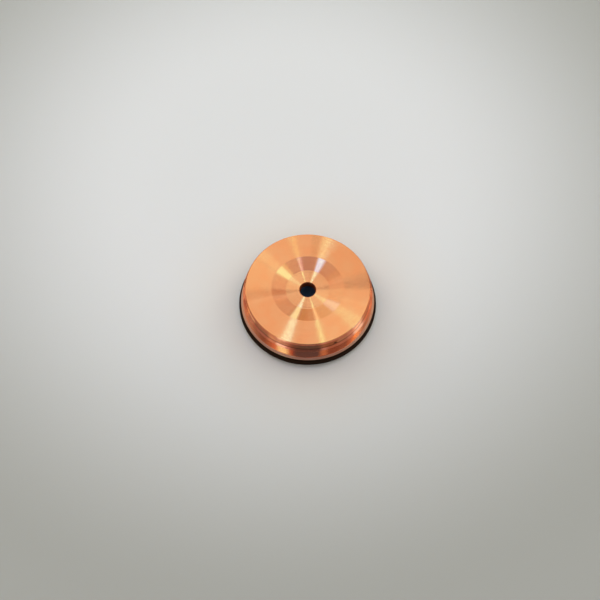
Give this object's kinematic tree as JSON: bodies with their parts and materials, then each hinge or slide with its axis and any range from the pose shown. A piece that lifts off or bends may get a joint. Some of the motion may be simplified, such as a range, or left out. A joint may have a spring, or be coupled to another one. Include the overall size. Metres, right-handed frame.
{
  "type": "plasma shield cap",
  "caption": "Turned copper shield cap for a plasma cutting torch: dished front face with a central orifice, stepped side, rubber seal ring in a groove and an open rear chamber.",
  "frame": {"origin": "centre of the rear rim, in the plane that the cap stands on", "axes": "+Z along the axis of revolution, out of the front face; the part is turned, so +X and +Y are free, and the small nick in the drum's wall lies 25.4 degrees from -Y towards +X"},
  "size_m": [0.0382, 0.0382, 0.0102],
  "materials": {
    "copper": "turned bare copper, satin, with fine circular tool marks",
    "seal_rubber": "black nitrile rubber, slightly dull"
  },
  "bodies": {
    "root": {"shield_body": "copper", "o_ring": "seal_rubber"}
  },
  "joints": []
}
